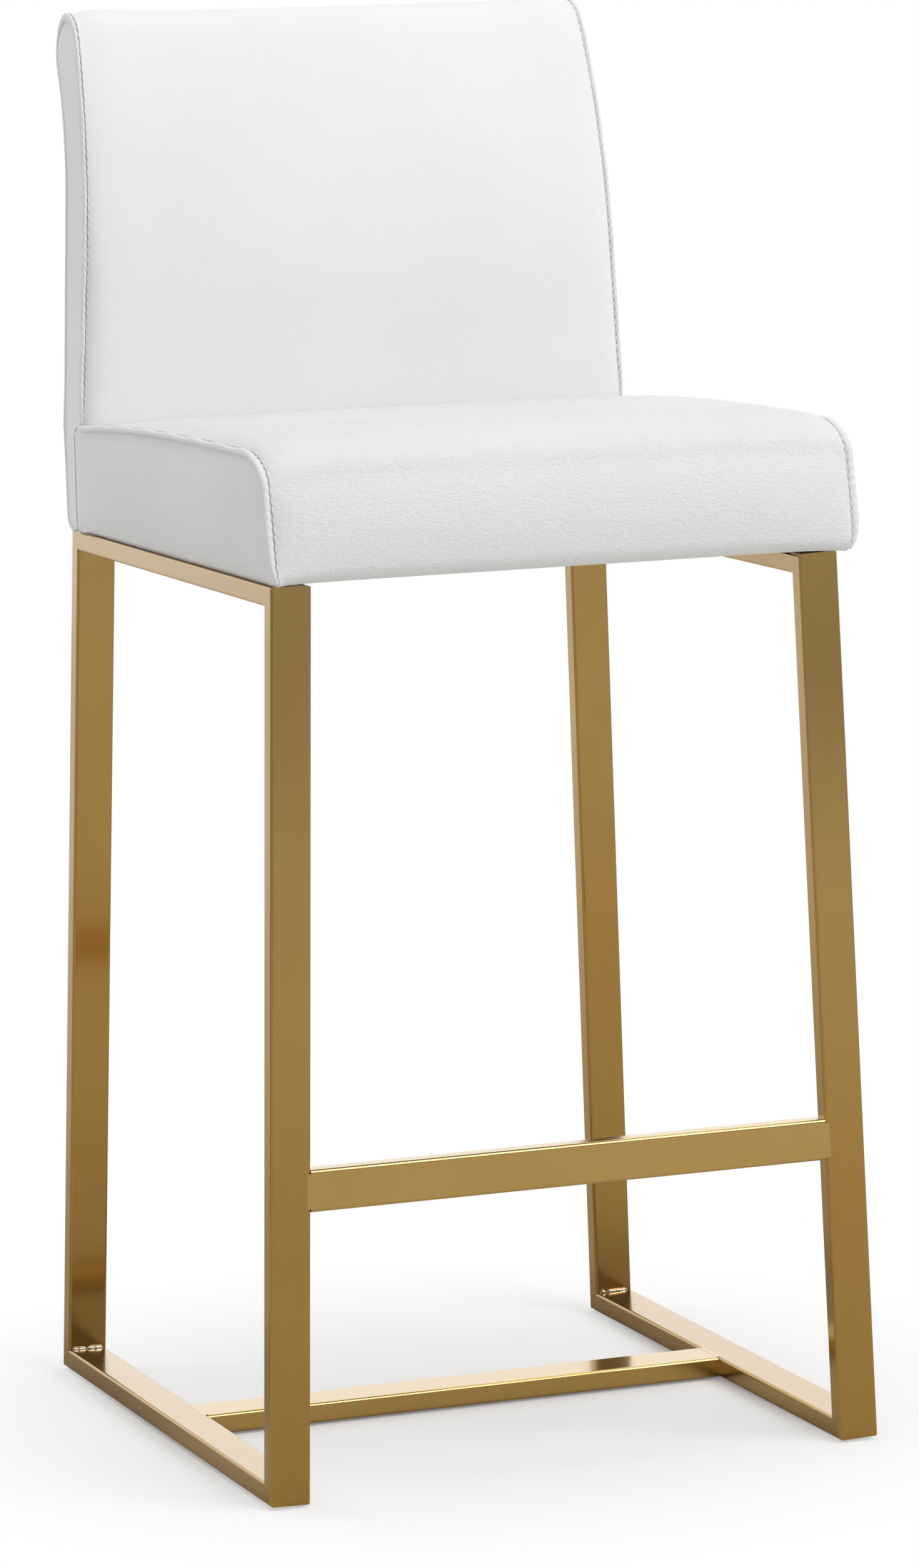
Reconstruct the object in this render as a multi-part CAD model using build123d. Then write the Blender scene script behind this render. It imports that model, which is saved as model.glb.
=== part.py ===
from build123d import *
import os
from math import atan, cos, radians, sin, tan

# Welded tube frame, millimetres
frame_height = 560.0  # floor rail underside to top rail upper face, at the outer side
base_width = 406.0  # over the outer faces of the floor rails
side_splay = 17.5  # how far a side loop leans in between floor and seat
base_depth = 411.0  # front to rear along a floor rail
front_rake = 6.0  # how far a front leg comes back between floor and seat
rear_rake = 19.5  # how far a rear leg comes forward between floor and seat
tube_width = 26.0
tube_depth = 13.0
tube_wall = 1.2
tube_corner = 2.0
footrest_height = 205.0  # floor rail underside to the footrest's upper edge
cross_bar_width = 32.0
weld_leg = 3.5
weld_swell = 0.8

# Floor glides
glide_height = 1.6
glide_diameter = 18.0
glide_taper = 0.8
glide_inset = 17.0  # glide centre from the end of a floor rail
stem_diameter = 6.0
stem_length = 7.0

# Seat upholstery, heights over the top rails
cover = 1.2  # thickness of the coated fabric
soft_gap = 0.3  # between foam and cover
seat_side_overhang = 3.5  # past the outer face of a top rail
seat_front_overhang = 9.0  # front seam ahead of the floor rails
seat_front_lean = 9.5
seat_height_front = 80.0
seat_height_rear = 69.0
seat_swell = 5.0  # rise of the side seam over a straight line
seat_edge_radius = 22.0
seat_lower_radius = 7.0
seat_crown = 7.0  # rise of the middle over the side seams, towards the front
seat_crown_rear = 4.5  # the same where the seat meets the back
seat_front_bulge = 4.0
seat_front_round = 0.8  # swell of the front seam itself
hem = 28.0  # cover turned under the seat

# Back upholstery
back_height = 333.0  # over the top rails
back_overhang = 14.0  # rearmost point of the back behind the floor rails
back_sweep = 72.0  # face to the rearmost point of the rounded top
back_depth_low = 36.0  # face to rear at the foot of the back
back_top_radius = 23.0
back_narrowing = 28.0  # difference in width from the seat to the top
back_face_lean = 22.0  # degrees, where the face meets the rounded top
back_rear_lean = 28.0
back_rear_slope = 2.8
back_crown = 5.0
side_seam_step = 17.0  # lower back band starts this far behind the face

# Boards and fixings
board = 15.0
board_corner = 12.0
board_margin = 6.0  # board edge to the inside of the cover
back_board = 12.0
back_foam_front = 15.0
back_board_margin = 14.0
bracket_width = 30.0
bracket_thickness = 3.0
bracket_foot = 62.0
bracket_rise = 80.0
bracket_inset = 79.0  # middle of a bracket in from the side of the seat
bracket_bend = 3.0  # inside radius
foot_screw_shares = (0.4, 0.8)  # screw places along a bracket's foot
rise_screw_shares = (0.45, 0.85)
screw_diameter = 4.0
screw_head = 8.0
screw_head_height = 2.4
screw_length = 10.0
bolt_diameter = 6.0
bolt_clearance = 0.5
bolt_length = 18.0
bolt_head = 10.5
bolt_head_height = 3.3
socket_width = 4.0
socket_depth = 2.0
washer_diameter = 14.0
washer_thickness = 1.2
access_hole = 16.0
bolt_spacing = 230.0  # along a top rail
nut_flange = 19.0
nut_flange_height = 1.6
nut_barrel = 8.0
nut_length = 10.0
fit_gap = 0.1  # between a fastener and its hole
dust_cover = 0.8

# Worked out once from the sizes above
splay = atan(side_splay / frame_height)
loop_height = frame_height / cos(splay)
foot = glide_height + tube_width * sin(splay)
seat_base = foot + frame_height
half_depth = base_depth / 2
seat_width = base_width - 2 * side_splay + 2 * seat_side_overhang
side_half = seat_width / 2
seat_front = half_depth + seat_front_overhang  # frame centre to the front seam
back_reach = half_depth + back_overhang
seat_rear = back_reach - back_sweep  # frame centre to the face of the back
back_width_low = seat_width
back_width_top = back_width_low - back_narrowing
board_low = seat_base + cover
board_top = board_low + board
board_face = seat_rear + cover + soft_gap + back_foam_front
overrun = 40.0  # spare length of stock that a cut takes off
nodes = {}


def loop_point(side, y, rise, inward=0.0):
    """A point of a side loop: along the floor, up the loop, and in from its outer face."""
    x = side * (base_width / 2 - rise * sin(splay) - inward * cos(splay))
    return Vector(x, y, foot + rise * cos(splay) - inward * sin(splay))


def loop_up(side):
    return Vector(-side * sin(splay), 0, cos(splay))


def loop_inward(side):
    return Vector(-side * cos(splay), 0, -sin(splay))


def loop_corners():
    """Outer corners of a side loop as (y, rise), from the front foot round to the front top."""
    return [
        Vector(-half_depth, 0),
        Vector(half_depth, 0),
        Vector(half_depth - rear_rake, loop_height),
        Vector(-half_depth + front_rake, loop_height),
    ]


def corner_bisector(index):
    corners = loop_corners()
    here = corners[index]
    before = (corners[index - 1] - here).normalized()
    after = (corners[(index + 1) % 4] - here).normalized()
    return (before + after).normalized()


def tube_section(width, depth):
    inner_corner = max(tube_corner - tube_wall, tube_corner / 4)
    outer = RectangleRounded(width, depth, tube_corner)
    return outer - RectangleRounded(width - 2 * tube_wall, depth - 2 * tube_wall, inner_corner)


def cut_to(solid, origin, normal, keep_point):
    """The part of a solid on the same side of a plane as keep_point."""
    facing = normal if (keep_point - origin).dot(normal) > 0 else -normal
    return split(solid, bisect_by=Plane(origin=origin, z_dir=facing), keep=Keep.TOP)


def loop_member(side, index):
    """One mitred tube of a side loop, from corner index to the next corner."""
    corners = loop_corners()
    start, end = corners[index], corners[(index + 1) % 4]
    along = (end - start).normalized()
    inside = Vector(-along.Y, along.X) * (tube_depth / 2)
    middle = (start + end) / 2 + inside
    centre = loop_point(side, middle.X, middle.Y, tube_width / 2)
    axis = Vector(0, along.X, 0) + loop_up(side) * along.Y
    length = (end - start).length + 2 * overrun
    stock = Plane(origin=centre - axis * (length / 2), x_dir=loop_inward(side), z_dir=axis)
    tube = extrude(stock * tube_section(tube_width, tube_depth), amount=length)
    for corner in (index, (index + 1) % 4):
        bisector = corner_bisector(corner)
        in_space = Vector(0, bisector.X, 0) + loop_up(side) * bisector.Y
        at = loop_point(side, corners[corner].X, corners[corner].Y)
        tube = cut_to(tube, at, in_space.cross(loop_inward(side)), centre)
    return tube


def upright_plane(side, y, rise):
    """Plane across the middle of a rail's width, looking up the loop."""
    origin = loop_point(side, y, rise, tube_width / 2)
    return Plane(origin=origin, x_dir=loop_inward(side), z_dir=loop_up(side))


def glide_places():
    reach = half_depth - glide_inset
    return [(side, end * reach) for side in (-1, 1) for end in (-1, 1)]


def bolt_places():
    return [(side, end * bolt_spacing / 2) for side in (-1, 1) for end in (-1, 1)]


def rod(radius, low, high):
    """A round bar standing on its plane from low to high."""
    return Pos(0, 0, (low + high) / 2) * Cylinder(radius, high - low)


# Side loops: legs and rails, drilled for glides and seat bolts
for side, name in ((-1, "left"), (1, "right")):
    floor_rail = loop_member(side, 0)
    top_rail = loop_member(side, 2)
    for at_side, y in glide_places():
        if at_side == side:
            hole = rod(stem_diameter / 2 + fit_gap, -tube_wall, 2 * tube_wall)
            floor_rail -= upright_plane(side, y, 0) * hole
    for at_side, y in bolt_places():
        if at_side == side:
            place = upright_plane(side, y, loop_height)
            bolt_hole = rod((bolt_diameter + bolt_clearance) / 2, -2 * tube_wall, tube_wall)
            way_in = rod(access_hole / 2, -tube_depth - tube_wall, -tube_depth + 2 * tube_wall)
            top_rail = top_rail - place * bolt_hole - place * way_in
    nodes[name + "_floor_rail"] = floor_rail
    nodes[name + "_rear_leg"] = loop_member(side, 1)
    nodes[name + "_top_rail"] = top_rail
    nodes[name + "_front_leg"] = loop_member(side, 3)


def between_loops(tube):
    """Trims a bar to the inner faces of the two side loops."""
    for side in (-1, 1):
        tube = cut_to(tube, loop_point(side, 0, 0, tube_width), loop_inward(side), Vector(0, 0, foot))
    return tube


def bar_across(centre, width, depth, width_dir):
    length = base_width + 2 * overrun
    stock = Plane(origin=centre - Vector(length / 2, 0, 0), x_dir=width_dir, z_dir=(1, 0, 0))
    return between_loops(extrude(stock * tube_section(width, depth), amount=length))


leg_lean = atan(front_rake / frame_height)
leg_dir = Vector(0, sin(leg_lean), cos(leg_lean))
rest_mid = footrest_height - tube_width / 2
rest_face = -half_depth + rest_mid * tan(leg_lean)
rest_centre = Vector(0, rest_face + tube_depth / 2 / cos(leg_lean), foot + rest_mid)
nodes["footrest_bar"] = bar_across(rest_centre, tube_width, tube_depth, leg_dir)

cross_top = loop_point(1, 0, tube_depth, tube_width).Z
cross_centre = Vector(0, 0, cross_top - tube_depth / 2)
nodes["floor_cross_bar"] = bar_across(cross_centre, cross_bar_width, tube_depth, Vector(0, 1, 0))


def corner_weld(side):
    """Bead in the inner corner of a rear leg and its floor rail."""
    across = tube_depth / corner_bisector(1).Y
    inner = loop_corners()[1] + corner_bisector(1) * across
    leg = (loop_corners()[2] - loop_corners()[1]).normalized() * weld_leg
    on_rail, on_leg = (-weld_leg, 0), (leg.X, leg.Y)
    bead = SagittaArc(on_leg, on_rail, weld_swell)
    section = make_face([Line((0, 0), on_leg), bead, Line(on_rail, (0, 0))])
    origin = loop_point(side, inner.X, inner.Y, tube_width / 2)
    plane = Plane(origin=origin, x_dir=(0, 1, 0), z_dir=loop_inward(side) * -side)
    return extrude(plane * section, amount=tube_width / 2 - tube_corner, both=True)


nodes["floor_corner_welds"] = [corner_weld(side) for side in (-1, 1)]


def glide(side, y):
    """Push-in foot: a tapered disc, level underneath, on a stem in the rail's wall."""
    depth = 2 * glide_height + tube_width * sin(splay)
    place = upright_plane(side, y, 0)
    disc = place * Pos(0, 0, -depth / 2) * Cone(glide_diameter / 2 - glide_taper, glide_diameter / 2, depth)
    level = split(disc, bisect_by=Plane.XY, keep=Keep.TOP)
    return level + place * rod(stem_diameter / 2, -glide_height / 2, stem_length)


nodes["floor_glides"] = [glide(side, y) for side, y in glide_places()]


def seat_bolt(place):
    """Button head screw pushed up through a top rail, its head inside the tube."""
    under = -tube_wall - washer_thickness
    head = place * rod(bolt_head / 2, under - bolt_head_height, under)
    shank = place * rod(bolt_diameter / 2, under - bolt_head_height / 2, under + bolt_length)
    socket = place * Pos(0, 0, under - bolt_head_height)
    recess = extrude(socket * RegularPolygon(socket_width / 2, 6, major_radius=False), amount=socket_depth)
    rim = (head + shank).edges().filter_by(GeomType.CIRCLE).sort_by(Axis.Z)[0]
    return chamfer(rim, bolt_head_height / 3) - recess


def seat_washer(place):
    ring = rod(washer_diameter / 2, -tube_wall - washer_thickness, -tube_wall)
    return place * (ring - rod(bolt_diameter / 2 + fit_gap, -tube_depth, tube_depth))


def nut_top(place):
    """Height up a bolt where the nut's leaning flange stays just under the board's top."""
    return board_top - place.origin.Z - nut_flange * sin(splay)


def seat_nut(place):
    """Flanged nut let into the top of the seat board, its barrel down the bolt hole."""
    top = nut_top(place)
    body = rod(nut_flange / 2, top - nut_flange_height, top) + rod(nut_barrel / 2, top - nut_length, top)
    return place * (body - rod(bolt_diameter / 2 + fit_gap, 0, 2 * top))


bolt_planes = [upright_plane(side, y, loop_height) for side, y in bolt_places()]
nodes["seat_bolts"] = [seat_bolt(place) for place in bolt_planes]
nodes["seat_washers"] = [seat_washer(place) for place in bolt_planes]
nodes["seat_nuts"] = [seat_nut(place) for place in bolt_planes]


def swelling(start, end, rise):
    """An arc that swells by rise to the left of the way from start to end."""
    return SagittaArc(start, end, rise)


def quarter(start, end):
    """A quarter-round that swells to the left."""
    chord = Vector(*end) - Vector(*start)
    return swelling(start, end, chord.length / 2 * tan(radians(90 / 4)))


def seat_run(inset, crown_share):
    """Seat section from the underside round the front and over the top to the rear."""
    bulge = seat_front_bulge * crown_share
    front = -seat_front + inset
    low = seat_base + inset
    high = seat_base + seat_height_front + seat_crown * crown_share - inset
    rear = seat_rear - soft_gap - back_crown * crown_share - inset
    rear_high = seat_base + seat_height_rear + seat_crown_rear * crown_share - inset
    radius = seat_edge_radius - inset
    low_radius = seat_lower_radius - inset
    under = (front + low_radius, low)
    front_low = (front, low + low_radius)
    front_high = (front + seat_front_lean, high - radius)
    front_top = (front + seat_front_lean + radius, high)
    return [
        quarter(under, front_low),
        swelling(front_low, front_high, bulge + seat_front_round),
        quarter(front_high, front_top),
        swelling(front_top, (rear, rear_high), seat_swell),
    ]


def closed(run, *corners):
    """Face inside a run of edges that is closed through straight corners."""
    points = [run[-1] @ 1, *corners, run[0] @ 0]
    return make_face([*run, Polyline(*points)])


def strip(outer, inner):
    """Face between two runs of edges that lie side by side."""
    ends = [Line(run_end @ at, other @ at) for run_end, other, at in
            ((outer[0], inner[0], 0), (outer[-1], inner[-1], 1))]
    return make_face([*outer, *inner, *ends])


def across(section, half):
    """Solid through a section at both sides and a crowned one in the middle."""
    return loft([Plane.YZ.offset(x) * section(share) for x, share in ((-half, 0), (0, 1), (half, 0))])


tuck = board_top + bracket_thickness + screw_head_height + 2 * soft_gap
hem_end = -seat_front + seat_lower_radius + hem
board_front = -seat_front + seat_lower_radius + cover + board_margin


def seat_wrap_section(crown_share):
    def run(inset):
        body = seat_run(inset, crown_share)
        first, last = body[0] @ 0, body[-1] @ 1
        return [Line((hem_end, first.Y), first), *body, Line(last, (last.X, tuck))]

    return strip(run(0), run(cover))


def seat_foam_section(crown_share):
    run = seat_run(cover + soft_gap, crown_share)
    rear, low = (run[-1] @ 1).X, (run[0] @ 0).Y
    edge = board_front - soft_gap
    return closed(run, (rear, board_top), (edge, board_top), (edge, low))


def seat_side_outline():
    """Side panel of the seat: its rear edge steps back and down beside the back."""
    run = seat_run(0, 0)
    top = run[-1] @ 1
    step_back = (seat_rear + side_seam_step - soft_gap, top.Y - side_seam_step)
    shoulder = quarter(step_back, top)
    return make_face([*run, shoulder, Polyline(step_back, (step_back[0], seat_base), run[0] @ 0)])


def back_run(inset, crown_share):
    """Back section from the face's foot up, over the rounded top and down to the rear foot."""
    face = seat_rear - back_crown * crown_share + inset
    radius = back_top_radius - inset
    lean, fall, slope = (radians(a) for a in (back_face_lean, back_rear_lean, back_rear_slope))
    cap_y = back_reach - back_top_radius
    cap_z = seat_base + back_height - back_top_radius
    cap_front = (cap_y - radius * cos(lean), cap_z + radius * sin(lean))
    cap_top = (cap_y, cap_z + radius)
    cap_rear = (cap_y + radius * cos(fall), cap_z - radius * sin(fall))
    face_radius = (cap_front[0] - face) / (1 - cos(lean))
    bend = (face, cap_front[1] - face_radius * sin(lean))
    low_radius = seat_lower_radius - inset
    rear = (seat_rear + back_depth_low - inset, seat_base + inset + low_radius)
    over = cap_rear[0] - rear[0] - (cap_rear[1] - rear[1]) * tan(slope)
    turn = cos(slope) - cos(fall) - (sin(fall) - sin(slope)) * tan(slope)
    rear_radius = over / turn
    rear_bend = (cap_rear[0] - rear_radius * (cos(slope) - cos(fall)),
                 cap_rear[1] - rear_radius * (sin(fall) - sin(slope)))
    top_turn = radians(90) - lean
    rear_turn = radians(90) + fall
    return [
        Line((face, tuck), bend),
        swelling(bend, cap_front, face_radius * (1 - cos(lean / 2))),
        swelling(cap_front, cap_top, radius * (1 - cos(top_turn / 2))),
        swelling(cap_top, cap_rear, radius * (1 - cos(rear_turn / 2))),
        swelling(cap_rear, rear_bend, -rear_radius * (1 - cos((fall - slope) / 2))),
        Line(rear_bend, rear),
        quarter(rear, (rear[0] - low_radius, rear[1] - low_radius)),
    ]


back_hem_end = board_face + back_board / 4


def back_wrap_section(crown_share):
    def run(inset):
        body = back_run(inset, crown_share)
        last = body[-1] @ 1
        return [*body, Line(last, (back_hem_end, last.Y))]

    return strip(run(0), run(cover))


def back_foam_section(crown_share):
    run = back_run(cover + soft_gap, crown_share)
    low = run[-1] @ 1
    return closed(run, (board_face, low.Y), (board_face, tuck))


def back_side_outline():
    """Side band of the back: full width above the seat, narrow beside the seat's panel."""
    run = back_run(0, 0)[1:]
    meet = (seat_rear, seat_base + seat_height_rear + soft_gap)
    step_back = (seat_rear + side_seam_step, meet[1] - side_seam_step)
    shoulder = quarter(step_back, meet)
    foot_line = Polyline(run[-1] @ 1, (step_back[0], seat_base), step_back)
    return make_face([*run, foot_line, shoulder, Line(meet, run[0] @ 0)])


def back_board_outline():
    """Bent board that follows the face of the back."""
    face_run = back_run(0, 0)
    bend = face_run[0] @ 1
    lean = radians(back_face_lean)
    face_radius = ((face_run[1] @ 1).X - seat_rear) / (1 - cos(lean))
    centre = (seat_rear + face_radius, bend.Y)
    turn = lean * (1 - back_board_margin / (face_radius * lean))
    sides = []
    for y in (board_face, board_face + back_board):
        radius = centre[0] - y
        end = (centre[0] - radius * cos(turn), centre[1] + radius * sin(turn))
        sides.append([Line((y, board_low), (y, bend.Y)),
                      swelling((y, bend.Y), end, radius * (1 - cos(turn / 2)))])
    return strip(*sides)


def between_sides(solid, inset):
    """Trims a solid to the back's width: upright beside the seat, tapering above it."""
    high = seat_base + seat_height_rear
    rise = back_height - seat_height_rear
    taper = atan((back_width_low - back_width_top) / 2 / rise)
    inside = Vector(0, seat_rear, high)
    for side in (-1, 1):
        at = Vector(side * (back_width_low / 2 - inset), seat_rear, high)
        solid = cut_to(solid, at, Vector(1, 0, 0), inside)
        solid = cut_to(solid, at, Vector(side * cos(taper), 0, sin(taper)), inside)
    return solid


def full_width(outline):
    return extrude(Plane.YZ * outline, amount=back_width_low, both=True)


# Seat: covers, foam and board
seat_inner = side_half - cover
seat_wrap = across(seat_wrap_section, seat_inner)
seat_foam = across(seat_foam_section, seat_inner - soft_gap)
seat_panel_face = seat_side_outline()
hem_box = Box(hem, board_face - hem_end - 2 * hem, cover, align=(Align.MIN, Align.MIN, Align.MIN))

seat_board_width = seat_width - 2 * (cover + board_margin)
seat_board = Pos(0, (board_front + board_face) / 2, (board_low + board_top) / 2) * Box(
    seat_board_width, board_face - board_front, board)
seat_board = fillet(seat_board.edges().filter_by(Axis.Z), board_corner)
for place in bolt_planes:
    flange_hole = rod(nut_flange / 2 + fit_gap, nut_top(place) - nut_flange_height, nut_top(place) + board)
    barrel_hole = rod(nut_barrel / 2 + fit_gap, -board, nut_top(place))
    seat_board = seat_board - place * flange_hole - place * barrel_hole

# Back: covers, foam and board
back_wrap = between_sides(across(back_wrap_section, back_width_low / 2), cover)
back_foam = between_sides(across(back_foam_section, back_width_low / 2), cover + soft_gap)
back_panel = full_width(back_board_outline())
back_foam -= back_panel
back_panel = between_sides(back_panel, cover + back_board_margin)
bands = between_sides(full_width(back_side_outline()), 0) - between_sides(full_width(back_side_outline()), cover)

# Brackets and their screws
screws = []


def wood_screw(place):
    head = rod(screw_head / 2, 0, screw_head_height)
    rim = head.edges().sort_by(Axis.Z)[-1]
    return place * (chamfer(rim, screw_head_height / 3) + rod(screw_diameter / 2, -screw_length, 0))


def bracket_outline():
    """Flat bar bent to an angle in the corner of the two boards."""
    sides = []
    for inset in (0, bracket_thickness):
        face, top = board_face - inset, board_top + inset
        corners = (board_face - bracket_foot, top), (face, top), (face, board_top + bracket_rise)
        sides.append([FilletPolyline(*corners, radius=bracket_bend + bracket_thickness - inset)])
    return strip(*sides)


def bracket_places(x):
    """Planes on a bracket's two legs where its screws go in, looking out of the boards."""
    foot_plane = [Plane(origin=(x, board_face - bracket_foot * share, board_top + bracket_thickness))
                  for share in foot_screw_shares]
    rise_plane = [Plane(origin=(x, board_face - bracket_thickness, board_top + bracket_rise * share),
                        x_dir=(1, 0, 0), z_dir=(0, -1, 0)) for share in rise_screw_shares]
    return foot_plane + rise_plane


for side, name in ((-1, "left"), (1, "right")):
    x = side * (side_half - bracket_inset)
    bracket = extrude(Plane.YZ.offset(x) * bracket_outline(), amount=bracket_width / 2, both=True)
    room = bracket_thickness + screw_head_height + soft_gap
    pocket = bracket_width + 2 * soft_gap
    seat_foam -= Pos(x, board_face, board_top) * Box(
        pocket, 2 * (bracket_foot + soft_gap), 2 * room)
    back_foam -= Pos(x, board_face, board_top) * Box(
        pocket, 2 * room, 2 * (bracket_rise + soft_gap))
    for place in bracket_places(x):
        hole = place * rod(screw_diameter / 2 + fit_gap, -screw_length - fit_gap, bracket_thickness)
        bracket -= hole
        seat_board -= hole
        back_panel -= hole
        screws.append(wood_screw(place))
    nodes[name + "_back_bracket"] = bracket

    panel = extrude(Plane.YZ.offset(side * side_half) * seat_panel_face, amount=-side * cover)
    turned = Pos(-hem if side > 0 else 0, 0, 0) * hem_box
    turned = Pos(side * seat_inner, hem_end + hem, seat_base) * turned
    panel += turned
    for place in bolt_planes:
        panel -= place * rod((bolt_diameter + bolt_clearance) / 2, -cover, 2 * cover)
    nodes[name + "_seat_side_panel"] = panel
    nodes[name + "_back_side_band"] = bands.solids().sort_by(Axis.X)[0 if side < 0 else -1]

dust_width = seat_width - 2 * (cover + hem + soft_gap)
dust_depth = board_face - hem_end - 2 * soft_gap
nodes["seat_dust_cover"] = Pos(0, (board_face + hem_end) / 2, board_low - dust_cover / 2) * Box(
    dust_width, dust_depth, dust_cover)
nodes["seat_wrap_cover"] = seat_wrap
nodes["seat_foam"] = seat_foam
nodes["seat_board"] = seat_board
nodes["back_wrap_cover"] = back_wrap
nodes["back_foam"] = back_foam
nodes["back_board"] = back_panel
nodes["bracket_screws"] = screws

# The origin lies on the floor under the middle of the whole stool
solids = {name: [s for piece in (item if isinstance(item, list) else [item]) for s in piece.solids()]
          for name, item in nodes.items()}
extent = Compound([solid for group in solids.values() for solid in group]).bounding_box()
centred = Pos(0, -(extent.min.Y + extent.max.Y) / 2, 0)
os.makedirs("parts", exist_ok=True)
for name, group in solids.items():
    placed = [centred * solid for solid in group]
    export_step(Compound(placed) if len(placed) > 1 else placed[0], f"parts/{name}.step")
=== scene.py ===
import bmesh
import bpy
from cmath import exp as turned_by
from math import atan, cos, exp, pi, radians, sin, tan
from mathutils import Matrix, Vector


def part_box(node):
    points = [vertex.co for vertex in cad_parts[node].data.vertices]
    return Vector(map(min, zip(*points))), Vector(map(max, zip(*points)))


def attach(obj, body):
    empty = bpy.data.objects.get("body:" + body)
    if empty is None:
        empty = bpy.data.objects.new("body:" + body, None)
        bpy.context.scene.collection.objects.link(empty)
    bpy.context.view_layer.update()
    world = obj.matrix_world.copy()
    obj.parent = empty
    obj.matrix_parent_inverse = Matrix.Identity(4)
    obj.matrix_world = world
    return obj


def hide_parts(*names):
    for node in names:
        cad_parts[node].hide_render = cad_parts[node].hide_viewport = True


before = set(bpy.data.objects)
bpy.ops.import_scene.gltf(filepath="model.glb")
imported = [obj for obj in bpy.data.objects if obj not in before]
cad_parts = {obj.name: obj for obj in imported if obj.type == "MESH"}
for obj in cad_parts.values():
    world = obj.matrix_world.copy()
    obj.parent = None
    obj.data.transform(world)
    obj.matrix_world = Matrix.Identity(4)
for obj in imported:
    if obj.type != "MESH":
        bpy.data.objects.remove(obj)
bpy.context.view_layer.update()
scene = bpy.context.scene
MM = 0.001
SIDES = ((-1, "left"), (1, "right"))
TINY = 1e-9

# Places that come from the frame
floor_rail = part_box("left_floor_rail")
mid_y = (floor_rail[0].y + floor_rail[1].y) / 2
half_depth = (floor_rail[1].y - floor_rail[0].y) / 2
seat_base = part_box("left_top_rail")[1].z
half_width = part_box("right_seat_side_panel")[1].x

# Upholstery sizes, close to those of the part's source
COVER = 1.2 * MM
SEAM_GAP = 0.1 * MM
SEAT_FRONT_OVERHANG = 12.0 * MM
SEAT_LEAN = 8.5 * MM
SEAT_HEIGHT_FRONT = 80.0 * MM
SEAT_HEIGHT_REAR = 69.0 * MM
SEAT_EDGE_DEPTH = 38.0 * MM
SEAT_EDGE_HEIGHT = 22.0 * MM
SEAT_LIFT = 0.8 * MM
SEAT_PINCH = 3.0 * MM
PINCH_RISE = 15.0 * MM
PINCH_RUN = 25.0 * MM
ROLL = 7.0 * MM
ROLL_DEPTH_GAIN = 14.0 * MM
ROLL_HEIGHT_GAIN = 4.0 * MM
REAR_ROLL = 12.0 * MM
SEAT_CROWN = 7.0 * MM
SEAT_CROWN_REAR = 2.0 * MM
FRONT_BULGE = 4.0 * MM
FRONT_ROUND = 1.2 * MM
BACK_HEIGHT = 333.0 * MM
BACK_OVERHANG = 14.0 * MM
BACK_SWEEP = 72.0 * MM
BACK_FOOT = 36.0 * MM
CAP_RADIUS = 23.0 * MM
FACE_LEAN = radians(22.0)
REAR_LEAN = radians(28.0)
REAR_SLOPE = radians(2.8)
FACE_CROWN = 7.5 * MM
FACE_FULLNESS = 1.65
TOP_CROWN = 0.2 * MM
TOP_PUFF = 22.0 * MM
CROWN_POWER = 10
CROWN_EDGE = 0.35
CROWN_EDGE_RUN = 5.0 * MM
CREASE_SHARE = 0.05
CREASE_RUN = 1.5 * MM
BACK_NARROWING = 14.0 * MM
BACK_EASE = -0.5 * MM
EASE_RISE = 30.0 * MM
BEND_SHARE = 0.55
SHOULDER_STEP = 16.0 * MM
SHOULDER_RADIUS = 6.0 * MM
SHOULDER_NEAR = 1.0 * MM
STITCH_PITCH = 5.6 * MM

seat_front = mid_y - half_depth - SEAT_FRONT_OVERHANG
back_reach = mid_y + half_depth + BACK_OVERHANG
face = back_reach - BACK_SWEEP
seat_top_rear = seat_base + SEAT_HEIGHT_REAR
shoulder = face + SHOULDER_STEP

# The plain seam beside the back turns from upright to level between these two places
shoulder_low = complex(shoulder, seat_top_rear - SHOULDER_RADIUS)
shoulder_high = complex(shoulder - SHOULDER_RADIUS, seat_top_rear)

# Mesh cells along each stretch of the upholstery
ACROSS_CELLS = 52
LENGTH_CELLS = 44
ROLL_CELLS = 6
HEM_CELLS = 2
FRONT_CELLS = 9
EDGE_CELLS = 8
REAR_CELLS = 8
FACE_CELLS = 18
LEAN_CELLS = 17
CAP_CELLS = 12
SWEEP_CELLS = 12
BACK_CELLS = 22
SHOULDER_CELLS = 4
PANEL_COLUMNS = 48
PANEL_ROWS = 14
BAND_COLUMNS = 44
BAND_ROWS = 6
ACROSS_EVEN = 0.15

# Camera, solved from the corners of the frame in the photograph
CAMERA_FROM_FRAME = Vector((-1.4415, -3.7456, 0.9867))
CAMERA_YAW = -0.36960
CAMERA_PITCH = -0.14440
CAMERA_ROLL = -0.02138
FOCAL_PIXELS = 10158.5
PHOTO_HEIGHT = 2507
SENSOR = 36.0


def add_camera():
    """Camera at the photograph's place and angle."""
    data = bpy.data.cameras.new("photo_camera")
    data.sensor_width = SENSOR
    data.lens = FOCAL_PIXELS * SENSOR / PHOTO_HEIGHT
    camera = bpy.data.objects.new("photo_camera", data)
    scene.collection.objects.link(camera)
    level = Vector((cos(CAMERA_YAW), sin(CAMERA_YAW), 0))
    forward = Vector((-sin(CAMERA_YAW), cos(CAMERA_YAW), 0))
    ahead = forward * cos(CAMERA_PITCH) + Vector((0, 0, sin(CAMERA_PITCH)))
    upward = level.cross(ahead)
    right = cos(CAMERA_ROLL) * level + sin(CAMERA_ROLL) * upward
    up = cos(CAMERA_ROLL) * upward - sin(CAMERA_ROLL) * level
    turn = Matrix((right, up, -ahead)).transposed()
    place = CAMERA_FROM_FRAME + Vector((0, mid_y, floor_rail[0].z))
    camera.matrix_world = Matrix.Translation(place) @ turn.to_4x4()
    scene.camera = camera


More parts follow.
